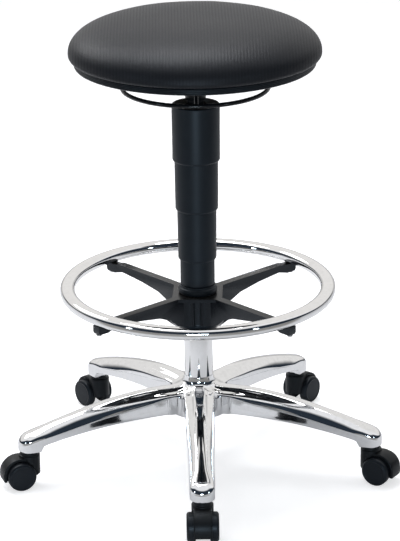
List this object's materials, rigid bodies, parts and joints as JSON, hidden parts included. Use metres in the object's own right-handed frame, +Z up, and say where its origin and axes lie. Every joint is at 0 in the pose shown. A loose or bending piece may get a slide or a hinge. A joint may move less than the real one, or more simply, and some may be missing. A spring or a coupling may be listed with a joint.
{
  "type": "perch stool",
  "caption": "Height-adjustable perch stool: round padded seat on a swivelling gas column with telescopic covers, a foot ring and a star base on twin-wheel casters.",
  "frame": {"origin": "centre of the stool's footprint, on the floor", "axes": "+Z up along the column, -Y towards the arm and caster at the front, +X to the right seen from the front; the column axis stands at x 0, y 0.02984"},
  "size_m": [0.6978, 0.6661, 0.8091],
  "materials": {
    "seat_vinyl": "satin",
    "edge_band": "satin",
    "board": "matte",
    "black_steel": "satin",
    "black_plastic": "matte",
    "spider_nylon": "satin",
    "chrome": "polished",
    "polished_aluminium": "polished",
    "bare_steel": "satin",
    "guide_nylon": "matte",
    "caster_nylon": "satin",
    "wheel_tread": "satin"
  },
  "bodies": {
    "base": {"star_base": "polished_aluminium", "stand_tube": "chrome", "guide_sleeve": "guide_nylon", "thrust_bearing": "bare_steel", "cover_stage_4": "black_plastic", "caster_1_stem": "bare_steel", "caster_2_stem": "bare_steel", "caster_3_stem": "bare_steel", "caster_4_stem": "bare_steel", "caster_5_stem": "bare_steel"},
    "spindle": {"piston_rod": "bare_steel", "retaining_clip": "bare_steel"},
    "seat": {"seat_cushion": "seat_vinyl", "seat_edge_band": "edge_band", "seat_board": "board", "seat_plate": "black_steel", "seat_screw_1": "bare_steel", "seat_screw_2": "bare_steel", "seat_screw_3": "bare_steel", "seat_screw_4": "bare_steel", "pressure_tube": "black_steel", "cover_stage_1": "black_plastic"},
    "cover_two": {"cover_stage_2": "black_plastic"},
    "cover_three": {"cover_stage_3": "black_plastic"},
    "release_lever": {"release_ring": "black_steel", "actuator_plate": "bare_steel"},
    "valve": {"valve_pin": "bare_steel"},
    "foot_rest": {"foot_ring": "chrome", "foot_ring_spider": "spider_nylon", "foot_ring_screw_1": "bare_steel", "foot_ring_screw_2": "bare_steel", "foot_ring_screw_3": "bare_steel", "foot_ring_screw_4": "bare_steel"},
    "collar": {"clamp_collar": "black_plastic"},
    "caster_1": {"caster_1_hood": "caster_nylon", "caster_1_axle": "bare_steel"},
    "wheel_1_left": {"caster_1_wheel_left": "wheel_tread"},
    "wheel_1_right": {"caster_1_wheel_right": "wheel_tread"},
    "caster_2": {"caster_2_hood": "caster_nylon", "caster_2_axle": "bare_steel"},
    "wheel_2_left": {"caster_2_wheel_left": "wheel_tread"},
    "wheel_2_right": {"caster_2_wheel_right": "wheel_tread"},
    "caster_3": {"caster_3_hood": "caster_nylon", "caster_3_axle": "bare_steel"},
    "wheel_3_left": {"caster_3_wheel_left": "wheel_tread"},
    "wheel_3_right": {"caster_3_wheel_right": "wheel_tread"},
    "caster_4": {"caster_4_hood": "caster_nylon", "caster_4_axle": "bare_steel"},
    "wheel_4_left": {"caster_4_wheel_left": "wheel_tread"},
    "wheel_4_right": {"caster_4_wheel_right": "wheel_tread"},
    "caster_5": {"caster_5_hood": "caster_nylon", "caster_5_axle": "bare_steel"},
    "wheel_5_left": {"caster_5_wheel_left": "wheel_tread"},
    "wheel_5_right": {"caster_5_wheel_right": "wheel_tread"}
  },
  "joints": [
    {"name": "seat_swivel", "type": "hinge", "parent": "base", "child": "spindle", "pos_m": [0, 0.02984, 0.1], "axis": [0, 0, 1], "continuous": true},
    {"name": "seat_height", "type": "slide", "parent": "spindle", "child": "seat", "axis": [0, 0, 1], "range_m": [-0.2, 0]},
    {"name": "cover_two_slide", "type": "slide", "parent": "base", "child": "cover_two", "axis": [0, 0, 1], "range_m": [-0.121, 0]},
    {"name": "cover_three_slide", "type": "slide", "parent": "base", "child": "cover_three", "axis": [0, 0, 1], "range_m": [-0.036, 0]},
    {"name": "release_tilt", "type": "hinge", "parent": "seat", "child": "release_lever", "pos_m": [0, -0.00016, 0.7258], "axis": [-1, 0, 0], "range_deg": [0, 5.73], "stiffness_Nm_per_rad": 10, "springref_deg": -2.86},
    {"name": "valve_press", "type": "slide", "parent": "seat", "child": "valve", "axis": [0, 0, -1], "range_m": [0, 0.0035]},
    {"name": "foot_ring_height", "type": "slide", "parent": "base", "child": "foot_rest", "axis": [0, 0, 1], "range_m": [-0.08, 0]},
    {"name": "collar_twist", "type": "hinge", "parent": "foot_rest", "child": "collar", "pos_m": [0, 0.02984, 0.32565], "axis": [0, 0, 1], "range_deg": [0, 180]},
    {"name": "caster_1_swivel", "type": "hinge", "parent": "base", "child": "caster_1", "pos_m": [0, -0.28266, 0.06], "axis": [0, 0, 1], "continuous": true},
    {"name": "wheel_1_left_spin", "type": "hinge", "parent": "caster_1", "child": "wheel_1_left", "pos_m": [0.01935, -0.30216, 0.025], "axis": [1, 0, 0], "continuous": true},
    {"name": "wheel_1_right_spin", "type": "hinge", "parent": "caster_1", "child": "wheel_1_right", "pos_m": [-0.01935, -0.30216, 0.025], "axis": [1, 0, 0], "continuous": true},
    {"name": "caster_2_swivel", "type": "hinge", "parent": "base", "child": "caster_2", "pos_m": [0.2972, -0.06673, 0.06], "axis": [0, 0, 1], "continuous": true},
    {"name": "wheel_2_left_spin", "type": "hinge", "parent": "caster_2", "child": "wheel_2_left", "pos_m": [0.3241, -0.06112, 0.025], "axis": [0.5446, 0.8387, 0], "continuous": true},
    {"name": "wheel_2_right_spin", "type": "hinge", "parent": "caster_2", "child": "wheel_2_right", "pos_m": [0.30302, -0.09358, 0.025], "axis": [0.5446, 0.8387, 0], "continuous": true},
    {"name": "caster_3_swivel", "type": "hinge", "parent": "base", "child": "caster_3", "pos_m": [0.18368, 0.28266, 0.06], "axis": [0, 0, 1], "continuous": true},
    {"name": "wheel_3_left_spin", "type": "hinge", "parent": "caster_3", "child": "wheel_3_left", "pos_m": [0.18092, 0.30999, 0.025], "axis": [-0.7771, 0.6293, 0], "continuous": true},
    {"name": "wheel_3_right_spin", "type": "hinge", "parent": "caster_3", "child": "wheel_3_right", "pos_m": [0.21099, 0.28564, 0.025], "axis": [-0.7771, 0.6293, 0], "continuous": true},
    {"name": "caster_4_swivel", "type": "hinge", "parent": "base", "child": "caster_4", "pos_m": [-0.18368, 0.28266, 0.06], "axis": [0, 0, 1], "continuous": true},
    {"name": "wheel_4_left_spin", "type": "hinge", "parent": "caster_4", "child": "wheel_4_left", "pos_m": [-0.21094, 0.28611, 0.025], "axis": [-0.788, -0.6157, 0], "continuous": true},
    {"name": "wheel_4_right_spin", "type": "hinge", "parent": "caster_4", "child": "wheel_4_right", "pos_m": [-0.18044, 0.30994, 0.025], "axis": [-0.788, -0.6157, 0], "continuous": true},
    {"name": "caster_5_swivel", "type": "hinge", "parent": "base", "child": "caster_5", "pos_m": [-0.2972, -0.06673, 0.06], "axis": [0, 0, 1], "continuous": true},
    {"name": "wheel_5_left_spin", "type": "hinge", "parent": "caster_5", "child": "wheel_5_left", "pos_m": [-0.30934, -0.09137, 0.025], "axis": [0.3256, -0.9455, 0], "continuous": true},
    {"name": "wheel_5_right_spin", "type": "hinge", "parent": "caster_5", "child": "wheel_5_right", "pos_m": [-0.32194, -0.05478, 0.025], "axis": [0.3256, -0.9455, 0], "continuous": true}
  ],
  "couplings": [
    {"joint": "cover_two_slide", "follows": "seat_height", "ratio": 0.605},
    {"joint": "cover_three_slide", "follows": "seat_height", "ratio": 0.18},
    {"joint": "valve_press", "follows": "release_tilt", "m_per_rad": 0.034}
  ]
}
